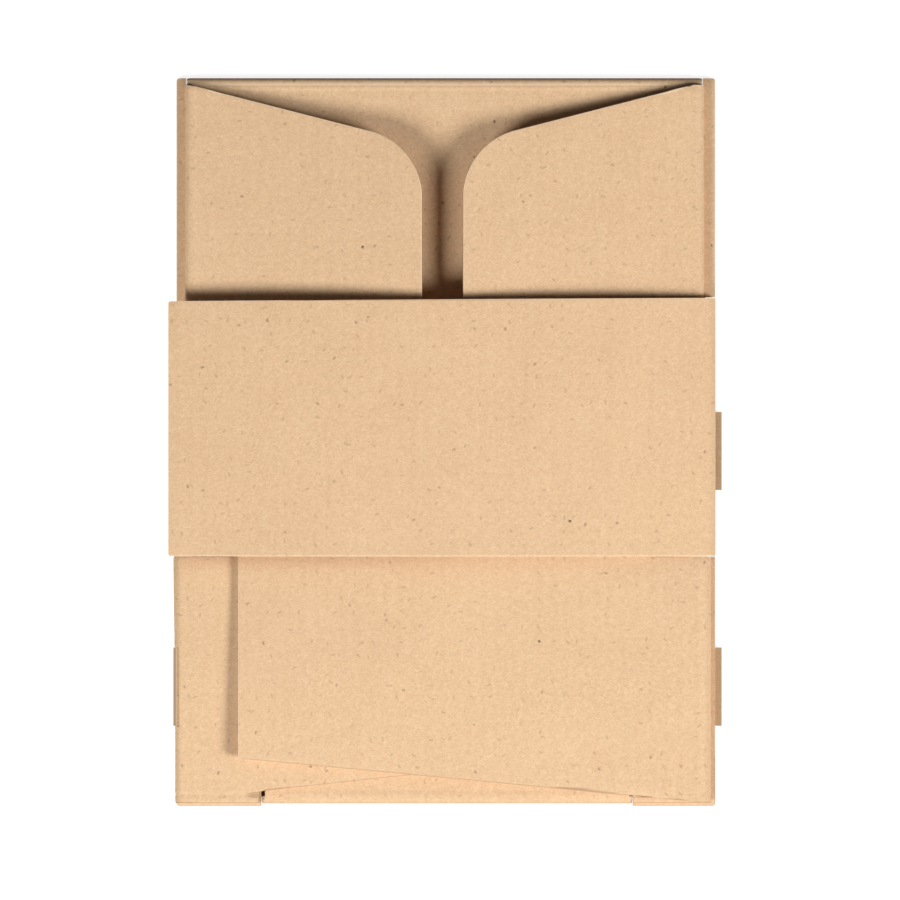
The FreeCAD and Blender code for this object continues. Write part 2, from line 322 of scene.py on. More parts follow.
class FLATBOX_OT_base_panel(bpy.types.Operator):
    """Lay down the base panel with its locking lips"""

    bl_idname = "flatbox.base_panel"
    bl_label = "Base panel"

    def execute(self, context):
        sizes = context.scene.flat_box
        plan = Plan(sizes)
        half = plan.half_length
        piece = new_sheet(SHEET, (plan.left, plan.right), (-half, half), plan.base_z)
        top_ends = (plan.top_left + sizes.top_fold_inset, plan.top_right - sizes.top_fold_inset)
        wall_ends = (plan.top_left + plan.reach, plan.top_right - plan.reach)
        upper_lip, lower_lip = plan.lip_range(sizes.upper_lip), plan.lip_range(plan.lower_lip)
        side_fold = plan.side_fold
        gap = sizes.cut_gap
        ys = [plan.top_edge, plan.bottom_edge, plan.flap_top + gap, plan.flap_bottom - gap]
        cut_across(piece, is_everything, ys=ys + [*upper_lip, *lower_lip])
        xs = [top_ends[0] - gap, top_ends[1] + gap, *top_ends, *wall_ends]
        cut_across(piece, lambda m: m.y > plan.top_edge, xs=xs)
        xs = [plan.slit_left - gap, plan.slit_left, plan.slit_right, plan.slit_right + gap]
        cut_across(piece, lambda m: m.y < plan.bottom_edge, xs=xs)

        remove(piece, lambda m: m.y > plan.top_edge and top_ends[0] - gap < m.x < top_ends[1] + gap)
        slit_ends = (plan.slit_left - gap, plan.slit_right + gap)
        remove(piece, lambda m: m.y < plan.bottom_edge and slit_ends[0] < m.x < slit_ends[1])

        def along_flap(m):
            return plan.flap_bottom - gap < m.y < plan.flap_top + gap

        cut_across(piece, along_flap, xs=[plan.root, side_fold])
        remove(piece, lambda m: m.x > side_fold and along_flap(m))

        def beside_lip(m):
            return not upper_lip[0] < m.y < upper_lip[1]

        remove(piece, lambda m: m.x > plan.root and along_flap(m) and beside_lip(m))

        def beside(x, lip):
            return lambda m: abs(m.x - x) < TINY and lip[0] < m.y < lip[1]

        pick(piece, "edges", beside(plan.right, lower_lip))
        run((sizes.lip_right, 0, 0))
        pick(piece, "edges", beside(side_fold, upper_lip))
        run((plan.reach, 0, 0), (sizes.lip_right, 0, 0))
        for lip in (upper_lip, lower_lip):
            pick(piece, "edges", beside(plan.left, lip))
            run((-sizes.lip_left, 0, 0))
        start_object_mode()
        return {"FINISHED"}


def round_off(piece, region, centre, radius, side, degrees, count):
    """Cut a round corner: tangent planes around its arc, up to the one along the slanted edge."""
    for index in range(1, count + 1):
        turn = math.radians(degrees * index / count)
        normal = Vector((side * math.cos(turn), math.sin(turn), 0))
        cut(piece, region, Vector((centre[0], centre[1], 0)) + normal * radius, normal, drop=True)


def round_corner(piece, region, corner, side, up, radius):
    """Cut a right-angled corner round."""
    centre = Vector((corner[0] - side * radius, corner[1] - up * radius, 0))
    for degrees in (45.0, 22.5, 67.5):
        turn = math.radians(degrees)
        normal = Vector((side * math.cos(turn), up * math.sin(turn), 0))
        cut(piece, region, centre + normal * radius, normal, drop=True)


class FLATBOX_OT_top_end(bpy.types.Operator):
    """Fold the top end wall in, and its two short ears in over it"""

    bl_idname = "flatbox.top_end"
    bl_label = "Top end"

    def execute(self, context):
        sizes = context.scene.flat_box
        plan = Plan(sizes)
        piece = bpy.data.objects[SHEET]
        open_piece(piece)
        edge, fold_z = plan.top_edge, plan.base_z + plan.fold
        fold_ends = (plan.top_left + sizes.top_fold_inset, plan.top_right - sizes.top_fold_inset)
        pick(piece, "edges", lambda m: abs(m.y - edge) < TINY and fold_ends[0] < m.x < fold_ends[1])
        fold((0, edge, fold_z), (1, 0, 0), 180)

        wall_ends = (plan.top_left + plan.reach, plan.top_right - plan.reach)
        pick(piece, "edges", lambda m: abs(m.y - edge) < TINY and abs(m.z - plan.wall_z) < TINY
             and wall_ends[0] < m.x < wall_ends[1])
        score_run(Vector((0, -1, 0)), Vector((0, 0, 1)), edge - plan.top_wall_end)
        cut_across(piece, lambda m: m.y > 0 and abs(m.z - plan.wall_z) < 0.5 * MM, ys=[plan.hidden_edge])
        gap_middle = (plan.top_left + plan.top_right) / 2 + sizes.short_shift
        half_gap = sizes.short_gap / 2
        for side, fold_x, wall_x, rise in (
            (1, plan.top_left, wall_ends[0], sizes.short_rise_left),
            (-1, plan.top_right, wall_ends[1], sizes.short_rise_right),
        ):
            self.short_ear(piece, plan, side, fold_x, wall_x, gap_middle - side * half_gap, rise)
        start_object_mode()
        return {"FINISHED"}

    def short_ear(self, piece, plan, side, fold_x, wall_x, free_x, rise):
        sizes = plan.sizes
        edge = plan.top_edge
        pick(piece, "edges", lambda m: abs(m.x - wall_x) < TINY and plan.hidden_edge < m.y < edge
             and abs(m.z - plan.wall_z) < 0.5 * MM)
        lift = sizes.short_lift
        centre = (wall_x, 0, plan.wall_z + plan.fold)
        fold(centre, (0, side, 0), 180 - math.degrees(lift))
        direction = Vector((side * math.cos(lift), 0, math.sin(lift)))
        up = Vector((-side * math.sin(lift), 0, math.cos(lift)))
        score_run(direction, up, abs(free_x - wall_x) / math.cos(lift))

        def on_ear(m):
            near = side * (m.x - wall_x) < -TINY or m.z > plan.wall_z + 0.5 * MM
            return near and 0 < m.y < edge and m.z > plan.base_z + 1 * MM and side * (free_x - m.x) > 0

        taper = sizes.short_taper
        radius = sizes.short_radius
        run_to_centre = abs(free_x - fold_x) - radius
        centre_y = edge + rise - (radius + run_to_centre * math.sin(taper)) / math.cos(taper)
        centre = (free_x - side * radius, centre_y)
        round_off(piece, on_ear, centre, radius, side, 90 - math.degrees(taper), 14)


class FLATBOX_OT_bottom_end(bpy.types.Operator):
    """Fold the bottom end wall in, and its two long ears in over it"""

    bl_idname = "flatbox.bottom_end"
    bl_label = "Bottom end"

    def execute(self, context):
        sizes = context.scene.flat_box
        plan = Plan(sizes)
        piece = bpy.data.objects[SHEET]
        open_piece(piece)
        edge, fold_z = plan.bottom_edge, plan.base_z + plan.fold
        pick(piece, "edges", lambda m: abs(m.y - edge) < TINY and plan.slit_left < m.x < plan.slit_right)
        fold((0, edge, fold_z), (1, 0, 0), -180)
        score_run(Vector((0, 1, 0)), Vector((0, 0, 1)), plan.bottom_wall_end - edge)

        def on_wall(m):
            return m.y < 0 and abs(m.z - plan.wall_z) < 0.5 * MM

        left_x, right_x = plan.bottom_left + plan.reach, plan.bottom_right - plan.wide_reach
        for slit_x, wall_x, side in ((plan.slit_left, left_x, -1), (plan.slit_right, right_x, 1)):
            pick(piece, "edges", lambda m: abs(m.x - slit_x) < TINY and on_wall(m) and m.y > edge)
            run((side * sizes.cut_gap, 0, 0), (wall_x - slit_x - side * sizes.cut_gap, 0, 0))
            gap_x = slit_x + side * sizes.cut_gap

            def beyond_gap(m):
                return abs(m.y - edge) < TINY and on_wall(m) and side * (m.x - gap_x) > 0

            pick(piece, "edges", beyond_gap)
            run((0, plan.slit_edge - edge, 0))
        self.left_ear(piece, plan, on_wall, left_x)
        self.right_ear(piece, plan, on_wall, right_x)
        start_object_mode()
        return {"FINISHED"}

    def upper_relief(self, piece, plan, region, relief_x, side):
        """Keep the ear clear of the closing flap beside its fold."""
        clear = plan.flap_bottom - plan.sizes.layer_gap
        cut(piece, region, (relief_x, 0, 0), (1, 0, 0))

        def beside_fold(m):
            return region(m) and side * (relief_x - m.x) > 0

        cut(piece, beside_fold, (0, clear, 0), (0, 1, 0), drop=True)

    def ear_from(self, piece, plan, on_wall, wall_x, side, radius, lift, total):
        """Fold an ear up from the wall's side edge and draw it out."""
        top = plan.tucked_edge
        cut_across(piece, on_wall, ys=[top])
        pick(piece, "edges", lambda m: abs(m.x - wall_x) < TINY and on_wall(m) and m.y < top)
        fold((wall_x, 0, plan.wall_z + radius), (0, side, 0), 180 - math.degrees(lift), steps=14)
        direction = Vector((side * math.cos(lift), 0, math.sin(lift)))
        up = Vector((-side * math.sin(lift), 0, math.cos(lift)))
        score_run(direction, up, total / math.cos(lift))

    def left_ear(self, piece, plan, on_wall, wall_x):
        sizes = plan.sizes
        free_x = plan.bottom_right - sizes.long_margin
        self.ear_from(piece, plan, on_wall, wall_x, 1, plan.fold, 0, free_x - wall_x)

        def on_ear(m):
            beyond = m.x < wall_x - TINY or abs(m.z - plan.ear_z) < 1 * MM
            at_level = plan.base_z + 1 * MM < m.z < plan.ear_z + 1 * MM
            return beyond and at_level and m.y < 0 and m.x < free_x

        self.upper_relief(piece, plan, on_ear, plan.bottom_left + sizes.long_relief, 1)
        step_x = plan.bottom_left + sizes.left_shoulder
        cut(piece, on_ear, (step_x, 0, 0), (1, 0, 0))
        taper = sizes.left_taper
        normal = (math.sin(taper), -math.cos(taper), 0)
        step_y = plan.slit_edge + sizes.left_step
        cut(piece, lambda m: on_ear(m) and m.x > step_x, (step_x, step_y, 0), normal, drop=True)

    def right_ear(self, piece, plan, on_wall, wall_x):
        sizes = plan.sizes
        free_x = plan.bottom_left + sizes.long_margin
        lift = sizes.right_lift
        self.ear_from(piece, plan, on_wall, wall_x, -1, plan.wide_fold, lift, wall_x - free_x)
        level = plan.ear_z + 1 * MM

        def on_ear(m):
            return (m.x > wall_x + TINY or m.z > level) and m.z > plan.base_z + 1 * MM and m.y < 0

        self.upper_relief(piece, plan, on_ear, plan.bottom_right - sizes.long_relief, -1)
        taper = sizes.right_taper
        normal = (-math.sin(taper), -math.cos(taper), 0)
        cut(piece, on_ear, (plan.bottom_right, plan.slit_edge, 0), normal, drop=True)


class FLATBOX_OT_closing_flap(bpy.types.Operator):
    """Raise the side strip and lay the bowed closing flap over the folded box"""

    bl_idname = "flatbox.closing_flap"
    bl_label = "Closing flap"

    def execute(self, context):
        sizes = context.scene.flat_box
        plan = Plan(sizes)
        side_fold = plan.side_fold
        piece = new_sheet(FLAP, (plan.root, side_fold), (plan.flap_bottom, plan.flap_top), plan.base_z)

        # Bow of the flap: a circle through its crease, its crown and its free end
        span = math.hypot(plan.crease.x - plan.flap_end, sizes.flap_rise)
        chord = math.atan2(sizes.flap_rise, plan.crease.x - plan.flap_end)
        height = plan.flap_crown - plan.board / 2 - plan.crease.z - sizes.flap_rise / 2
        bow = height - sizes.flap_rise**2 / (16 * height)
        radius = span * span / (8 * bow) + bow / 2
        half_turn = math.asin(span / 2 / radius)
        start_turn = half_turn + chord
        centre_x = plan.crease.x - radius * math.sin(start_turn)
        centre_z = plan.crease.z - radius * math.cos(start_turn)

        # The crease's bend leaves the upright strip and meets the bow where both run the same way
        bend = sizes.flap_corner
        upright_x = plan.crease.x
        meet = math.asin((upright_x - bend - centre_x) / (radius - bend))
        bend_z = centre_z + (radius - bend) * math.cos(meet)

        pick(piece, "edges", lambda m: abs(m.x - side_fold) < TINY)
        fold((side_fold, 0, plan.base_z + plan.fold), (0, -1, 0), 90, steps=8)
        run((0, 0, bend_z - plan.base_z - plan.fold))
        fold((upright_x - bend, 0, bend_z), (0, -1, 0), 90 - math.degrees(meet), steps=14)
        arc = meet + 2 * half_turn - start_turn - 0.2 * MM / radius
        fold((centre_x, 0, centre_z), (0, -1, 0), math.degrees(arc), steps=34)

        def on_flap(m):
            return m.z > plan.crease.z

        slope = math.atan2(sizes.flap_taper, plan.crease.x - plan.flap_end)
        normal = (-math.sin(slope), math.cos(slope), 0)
        cut(piece, on_flap, (plan.crease.x, plan.flap_top, 0), normal, drop=True)
        start_object_mode()
        return {"FINISHED"}


class FLATBOX_OT_small_cuts(bpy.types.Operator):
    """Press the cut edges down, round the corners and open the hooked slits, the notch and the window"""

    bl_idname = "flatbox.small_cuts"
    bl_label = "Pressed edges and small cuts"

    def execute(self, context):
        sizes = context.scene.flat_box
        plan = Plan(sizes)
        for name in (SHEET, FLAP):
            piece = bpy.data.objects[name]
            open_piece(piece)
            bpy.ops.mesh.select_all(action="SELECT")
            bpy.ops.mesh.remove_doubles(threshold=2 * TINY)
            bpy.ops.mesh.normals_make_consistent(inside=False)
            pick_by_width(piece, 2 * sizes.edge_crush, True)
            bpy.ops.mesh.inset(thickness=sizes.edge_crush, use_boundary=True, use_even_offset=True)
            for point, normal, end in self.row_ends(name, plan):
                pick_by_width(piece, 2 * sizes.edge_crush, False, end)
                bpy.ops.mesh.bisect(plane_co=point, plane_no=normal, threshold=TINY)
            bpy.ops.mesh.select_all(action="SELECT")
            bpy.ops.mesh.remove_doubles(threshold=8 * TINY)
            self.mark_cut_edges(piece, plan)
        self.round_corners(plan)
        open_piece(bpy.data.objects[SHEET])
        self.open_hooks(bpy.data.objects[SHEET], plan)
        self.open_notch(bpy.data.objects[SHEET], plan)
        open_piece(bpy.data.objects[FLAP])
        self.open_window(bpy.data.objects[FLAP], plan)
        start_object_mode()
        return {"FINISHED"}

    def row_ends(self, name, plan):
        """Planes just inside the open ends of the folds' narrow rows, where the pressed part stops."""
        sizes = plan.sizes
        crush = 1.5 * sizes.edge_crush
        if name == FLAP:
            ys = (plan.flap_bottom + crush, plan.flap_top - crush)
            return [((0, y, 0), (0, 1, 0), 0) for y in ys]
        clear = plan.flap_bottom - sizes.layer_gap
        ys = [plan.hidden_edge + crush, plan.tucked_edge - crush, clear - crush]
        ys.append(plan.slit_edge + crush)
        planes = [((0, y, 0), (0, 1, 0), 0) for y in ys]
        ends = (plan.top_left + sizes.top_fold_inset, plan.top_right - sizes.top_fold_inset)
        planes += [((x, 0, 0), (1, 0, 0), 1) for x in (ends[0] + crush, ends[1] - crush)]
        slits = (plan.slit_left + crush, plan.slit_right - crush)
        planes += [((x, 0, 0), (1, 0, 0), -1) for x in slits]
        taper = sizes.short_taper
        for side, fold_x in ((1, plan.top_left), (-1, plan.top_right)):
            normal = Vector((side * math.sin(taper), math.cos(taper), 0))
            start = Vector((fold_x, plan.top_edge, 0))
            planes.append((start - normal * crush, normal, 1))
        return planes

    def mark_cut_edges(self, piece, plan):
        """Keep the open edges in a group, but for the line where the two sheets meet."""
        start_object_mode()
        work = bmesh.new()
        work.from_mesh(piece.data)
        open_edge = [
            vert.index
            for vert in work.verts
            if vert.is_boundary and not (abs(vert.co.x - plan.root) < TINY and vert.co.z < plan.board)
        ]
        work.free()
        piece.vertex_groups.new(name=CUT_EDGE).add(open_edge, 1.0, "REPLACE")

    def round_corners(self, plan):
        """Round the corners of the base panel, of the right long ear and of the closing flap."""
        sizes = plan.sizes
        radius = sizes.corner_radius
        sheet, flap = bpy.data.objects[SHEET], bpy.data.objects[FLAP]
        free_x = plan.bottom_left + sizes.long_margin
        free_y = plan.slit_edge + math.tan(sizes.right_taper) * (plan.bottom_right - free_x)
        flap_y = plan.flap_top - sizes.flap_taper
        half = plan.half_length
        corners = [(sheet, plan.base_z, plan.left, -1, up * half, up) for up in (-1, 1)]
        corners += [(sheet, plan.base_z, plan.right, 1, up * half, up) for up in (-1, 1)]
        corners.append((sheet, plan.top_ear_z, free_x, -1, free_y, -1))
        end_x, end_z = plan.flap_end + 0.1 * MM, plan.crease.z + sizes.flap_rise
        corners += [(flap, end_z, end_x, -1, plan.flap_bottom, -1), (flap, end_z, end_x, -1, flap_y, 1)]
        for piece, level, x, side, y, up in corners:

            def near(m):
                return abs(m.z - level) < 1 * MM and abs(m.x - x) < 8 * MM and abs(m.y - y) < 8 * MM

            def all_near(m):
                return abs(m.z - level) < 1 * MM

            open_piece(piece)
            cut(piece, all_near, (x - side * 4 * MM, 0, 0), (1, 0, 0))
            cut(piece, all_near, (0, y - up * 4 * MM, 0), (0, 1, 0))
            round_corner(piece, near, (x, y), side, up, radius)

    def open_hooks(self, piece, plan):
        sizes = plan.sizes
        centre = -plan.half_length + sizes.hook_height
        low, high = centre - sizes.hook_width / 2, centre + sizes.hook_width / 2
        near = 2 * sizes.hook_right
        spans = (
            (plan.slit_left - sizes.cut_gap, plan.slit_left, plan.slit_left + sizes.hook_left),
            (plan.slit_right + sizes.cut_gap, plan.slit_right, plan.slit_right - sizes.hook_right),
        )
        for outer, slit, inner in spans:
            left, right = min(outer, inner), max(outer, inner)

            def here(m):
                on_wall = abs(m.z - plan.wall_z) < 0.5 * MM and plan.slit_edge < m.y < high + near
                return on_wall and left - near < m.x < right + near

            cut_across(piece, here, xs=(left, right, slit), ys=(low, high))
            remove(piece, lambda m: here(m) and low < m.y < high and left < m.x < right)
            slot = sorted((outer, slit))
            remove(piece, lambda m: here(m) and m.y < high and slot[0] < m.x < slot[1])

    def open_notch(self, piece, plan):
        low, high = plan.lip_range(plan.lower_lip)
        notch_x = plan.left_wall_side - 0.41 * plan.fold

        def on_fold(m):
            return m.x < plan.left_wall_side - TINY and m.z > plan.base_z + 1 * MM and m.y < 0

        cut_across(piece, on_fold, ys=(low, high))
        cut_across(piece, lambda m: on_fold(m) and low < m.y < high, xs=[notch_x])
        remove(piece, lambda m: on_fold(m) and m.x < notch_x and low < m.y < high)

    def open_window(self, piece, plan):
        lip = plan.lip_range(plan.sizes.upper_lip)
        low, high = lip[0] - 0.2 * MM, lip[1] + 0.2 * MM
        window_top = plan.board + plan.sizes.lip_right

        def on_strip(m):
            return m.z < plan.crease.z and m.x > plan.root - MM

        cut_across(piece, on_strip, ys=(low, high))
        cut(piece, lambda m: on_strip(m) and low < m.y < high, (0, 0, window_top), (0, 0, 1))
        remove(piece, lambda m: m.z < window_top and low < m.y < high)


def push(piece, direction, distance, share):
    """Push each point by its share of a distance: a Displace modifier along an axis, applied."""
    start_object_mode()
    bpy.context.view_layer.objects.active = piece
    piece.select_set(True)
    group = piece.vertex_groups.new(name="pushed")
    for vert in piece.data.vertices:
        weight = share(vert.co)
        if weight > 0:
            group.add([vert.index], min(weight, 1), "REPLACE")
    bpy.ops.object.modifier_add(type="DISPLACE")
    displace = piece.modifiers[-1]
    displace.direction = direction
    displace.mid_level = 0
    displace.strength = distance
    displace.vertex_group = group.name
    bpy.ops.object.modifier_apply(modifier=displace.name)
    piece.vertex_groups.remove(piece.vertex_groups["pushed"])


def smooth_share(value, start, end):
    """0 before start, 1 after end, smooth between them."""
    share = min(max((value - start) / (end - start), 0), 1)
    return share * share * (3 - 2 * share)


def make_board(piece, sizes, plan, liner, edge):
    """Turn the middle sheet into board: pressed cut edges, two liners and a fluted edge between them."""
    open_piece(piece)
    bpy.ops.mesh.select_all(action="SELECT")
    bpy.ops.mesh.remove_doubles(threshold=2 * TINY)
    bpy.ops.mesh.normals_make_consistent(inside=False)
    start_object_mode()
    bpy.context.view_layer.objects.active = piece
    piece.select_set(True)

    edge_share = [0.0] * len(piece.data.vertices)
    cut_edges = piece.vertex_groups[CUT_EDGE]
    for vert in piece.data.vertices:
        for member in vert.groups:
            if member.group == cut_edges.index:
                edge_share[vert.index] = member.weight
    group = piece.vertex_groups.new(name="full_thickness")
    for index, share in enumerate(edge_share):
        group.add([index], 1 - share, "REPLACE")
    bpy.ops.object.modifier_add(type="SOLIDIFY")
    solidify = piece.modifiers[-1]
    solidify.thickness = plan.board
    solidify.offset = 0
    solidify.use_even_offset = True
    solidify.use_quality_normals = True
    solidify.vertex_group = group.name
    solidify.thickness_vertex_group = 0.86
    solidify.material_offset_rim = 1
    piece.data.materials.append(liner)
    piece.data.materials.append(edge)
    bpy.ops.object.modifier_apply(modifier=solidify.name)
    for name in ("full_thickness", CUT_EDGE):
        piece.vertex_groups.remove(piece.vertex_groups[name])
    count = len(edge_share)
    if len(piece.data.vertices) != 2 * count:
        raise RuntimeError(f"{piece.name}: the board has not two shells")
    for name, values in (("board_depth", [0.0] * count + [1.0] * count), (CUT_EDGE, edge_share * 2)):
        piece.data.attributes.new(name, "FLOAT", "POINT").data.foreach_set("value", values)
    place = piece.data.attributes.new("place", "FLOAT_VECTOR", "POINT")
    flat = [part for vert in piece.data.vertices for part in vert.co]
    place.data.foreach_set("vector", flat)
    bpy.ops.object.shade_smooth_by_angle(angle=math.radians(38))
    bpy.ops.object.modifier_add(type="WEIGHTED_NORMAL")
    weighted = piece.modifiers[-1]
    weighted.keep_sharp = True
    weighted.weight = 90
    bpy.ops.object.modifier_apply(modifier=weighted.name)


class Num:
    """A value in a material: arithmetic on it adds Math nodes."""

    def __init__(self, tree, socket):
        self.tree = tree
        self.socket = socket

    def math(self, operation, *others, clamp=False):
        node = self.tree.nodes.new("ShaderNodeMath")
        node.operation = operation
        node.use_clamp = clamp
        for entry, value in zip(node.inputs, (self, *others)):
            if isinstance(value, Num):
                self.tree.links.new(value.socket, entry)
            else:
                entry.default_value = value
        return Num(self.tree, node.outputs[0])

    def __add__(self, other):
        return self.math("ADD", other)

    def __mul__(self, other):
        return self.math("MULTIPLY", other)

    def __sub__(self, other):
        return self.math("SUBTRACT", other)

    def __rsub__(self, other):
        return (self * -1) + other

    def __truediv__(self, other):
        return self.math("DIVIDE", other)

    def __abs__(self):
        return self.math("ABSOLUTE")

    __radd__ = __add__
    __rmul__ = __mul__

    def above(self, limit, soft):
        """0 below the limit and 1 above it, with a soft step."""
        return ((self - limit) / soft + 0.5).math("MULTIPLY", 1.0, clamp=True)

    def below(self, limit, soft):
        return 1 - self.above(limit, soft)

    def clamped(self):
        return self.math("MULTIPLY", 1.0, clamp=True)


class Finish:
    """A material under construction."""

    def __init__(self, name):
        self.material = bpy.data.materials.new(name)
        self.material.use_nodes = True
        self.tree = self.material.node_tree
        self.tree.nodes.clear()
        self.output = self.node("ShaderNodeOutputMaterial")

    def node(self, kind, settings=None, **inputs):
        """Add a node, set its settings, then fill or link its inputs."""
        node = self.tree.nodes.new(kind)
        for name, value in (settings or {}).items():
            setattr(node, name, value)
        for name, value in inputs.items():
            entry = node.inputs[int(name[1:])] if name[1:].isdigit() else node.inputs[name.replace("_", " ")]
            if isinstance(value, Num):
                value = value.socket
            if isinstance(value, bpy.types.NodeSocket):
                self.tree.links.new(value, entry)
            else:
                entry.default_value = value
        return node

    def num(self, socket):
        return Num(self.tree, socket)

    def mix(self, share, first, second):
        """Mix two colours by a share."""
        settings = {"data_type": "RGBA", "blend_type": "MIX"}
        node = self.node("ShaderNodeMix", settings, i0=share, i6=first, i7=second)
        return node.outputs[2]

    def place(self):
        """Each point's place on the folded box at rest."""
        return self.node("ShaderNodeAttribute", {"attribute_name": "place"}).outputs["Vector"]

    def stretched(self, vector, scale, turn=0.0):
        settings = {"vector_type": "POINT"}
        turned = (0, 0, turn)
        values = {"Vector": vector, "Scale": scale, "Rotation": turned}
        return self.node("ShaderNodeMapping", settings, **values).outputs[0]

    def noise(self, vector, scale, detail=2.0, roughness=0.5):
        """Noise centred on zero, about -0.5 to 0.5."""
        values = {"Vector": vector, "Scale": scale, "Detail": detail, "Roughness": roughness}
        return self.num(self.node("ShaderNodeTexNoise", None, **values).outputs[0]) - 0.5

    def ends(self, surface):
        self.tree.links.new(surface.outputs[0], self.output.inputs["Surface"])
        return self.material


def rgba(values):
    return (*values, 1.0)


def paper_grain(finish, place):
    """Close grain of recycled kraft paper, a little streaked across the box."""
    across = finish.noise(finish.stretched(place, (650, 1900, 900), 0.15), 1.0, 2.0, 0.6)
    slanted = finish.noise(finish.stretched(place, (800, 2200, 900), -0.8), 1.0, 1.0, 0.6)
    grain = finish.noise(place, 1500.0, 2.0, 0.7)
    return across * 0.5 + slanted * 0.4 + grain * 0.8


def fibres(finish, place, cell, size, share, seed):
    """Short bent fibres, at most one to a cell, each turned its own way: 1 on a fibre, 0 beside it."""
    long, wide = size
    vectors = "ShaderNodeVectorMath"
    grid = finish.node(vectors, {"operation": "SCALE"}, i0=place, Scale=1 / (cell * MM)).outputs[0]
    shift = (seed, 2.3 * seed, 0)
    grid = finish.node(vectors, {"operation": "ADD"}, i0=grid, i1=shift).outputs[0]
    settings = {"voronoi_dimensions": "2D", "feature": "F1"}
    cells = finish.node("ShaderNodeTexVoronoi", settings, Vector=grid, Scale=1.0, Randomness=1.0)
    offset = finish.node(vectors, {"operation": "SUBTRACT"}, i0=grid, i1=cells.outputs["Position"])
    apart = finish.node("ShaderNodeSeparateXYZ", None, i0=offset.outputs[0])
    right, up = finish.num(apart.outputs[0]) * cell, finish.num(apart.outputs[1]) * cell
    chance = finish.node("ShaderNodeSeparateColor", None, i0=cells.outputs["Color"])
    turn = finish.num(chance.outputs[0]) * math.pi
    cosine, sine = turn.math("COSINE"), turn.math("SINE")
    along = right * cosine + up * sine
    bend = (finish.num(chance.outputs[2]) - 0.5) * (0.8 / long)
    aside = up * cosine - right * sine + along * along * bend
    chosen = finish.num(chance.outputs[1]).above(1 - share, 0.02)
    strength = 0.35 + finish.num(chance.outputs[2]) * 0.65
    body = abs(along).below(long / 2, long / 3) * abs(aside).below(wide / 2, wide * 0.7)
    return body * chosen * strength


def board_liner(colours, sizes):
    """Outer paper of the board: kraft with grain, clouds, fibres, specks and a faint trace of the flutes,
    and painted shade on the lips and at the bottom cut edges.
    """
    finish = Finish("kraft_liner")
    place = finish.place()
    grain = paper_grain(finish, place)
    clouds = finish.noise(place, 38.0, 2.0, 0.5)
    mottle = finish.noise(place, 420.0, 3.0, 0.6)
    split = finish.node("ShaderNodeSeparateXYZ", None, i0=place)
    flute = (finish.num(split.outputs[0]) * (2 * math.pi / sizes.flute_pitch)).math("SINE")
    tone = grain * 1.45 + clouds * 0.30 + mottle * 0.75 + flute * 0.022
    body = finish.mix((tone + 0.5).clamped(), rgba(colours.kraft_dark), rgba(colours.kraft_pale))

    layers = (
        (3.3, (2.3, 0.60), 0.45, 23.0, colours.pale_fibre, 0.26),
        (6.5, (1.9, 0.75), 0.35, 37.0, colours.dark_fibre_and_shade, 0.40),
        (19.0, (1.5, 0.85), 0.35, 53.0, colours.speck, 0.50),
        (62.0, (1.3, 1.00), 0.40, 71.0, colours.speck, 0.90),
    )
    relief = grain * 0.5 + mottle * 0.4 + flute * 0.2
    for cell, size, share, seed, tint, strength in layers:
        mask = fibres(finish, place, cell, size, share, seed)
        body = finish.mix((mask * strength).clamped(), body, rgba(tint))
        relief = relief + mask * 0.25
    worn = finish.num(finish.node("ShaderNodeAttribute", {"attribute_name": "cut_edge"}).outputs["Fac"])
    worn = (worn + grain * 0.5).above(0.62, 0.25)
    right, up, height = (finish.num(split.outputs[index]) for index in range(3))
    # Painted shade: the cut edges near the bottom end are painted dark for the shade in the gaps there; the
    # others are worn pale
    painted_bottom_shade = up.below(-146.5 * MM, 2 * MM)
    body = finish.mix((worn * (1 - painted_bottom_shade) * 0.6).clamped(), body, rgba(colours.pale_fibre))
    body = finish.mix((worn * painted_bottom_shade * 0.5).clamped(), body, rgba(colours.dark_fibre_and_shade))
    # Painted shade: the locking lips are painted darker than the panel, past both of its sides, and low,
    # where the stack beside them shades them
    outside = right.below(-125.5 * MM, 0.4 * MM) + right.above(125.8 * MM, 0.4 * MM)
    lips = outside * height.below(3.7 * MM, 0.6 * MM)
    body = finish.mix((lips * 0.4).clamped(), body, rgba(colours.dark_fibre_and_shade))

    bump = finish.node("ShaderNodeBump", None, Height=relief, Strength=0.5, Distance=0.1 * MM)
    roughness = (grain * 0.10 + 0.88).clamped()
    surface = finish.node(
        "ShaderNodeBsdfPrincipled", None, Base_Color=body, Roughness=roughness, Normal=bump.outputs[0]
    )
    surface.inputs["Specular IOR Level"].default_value = 0.2
    return finish.ends(surface)


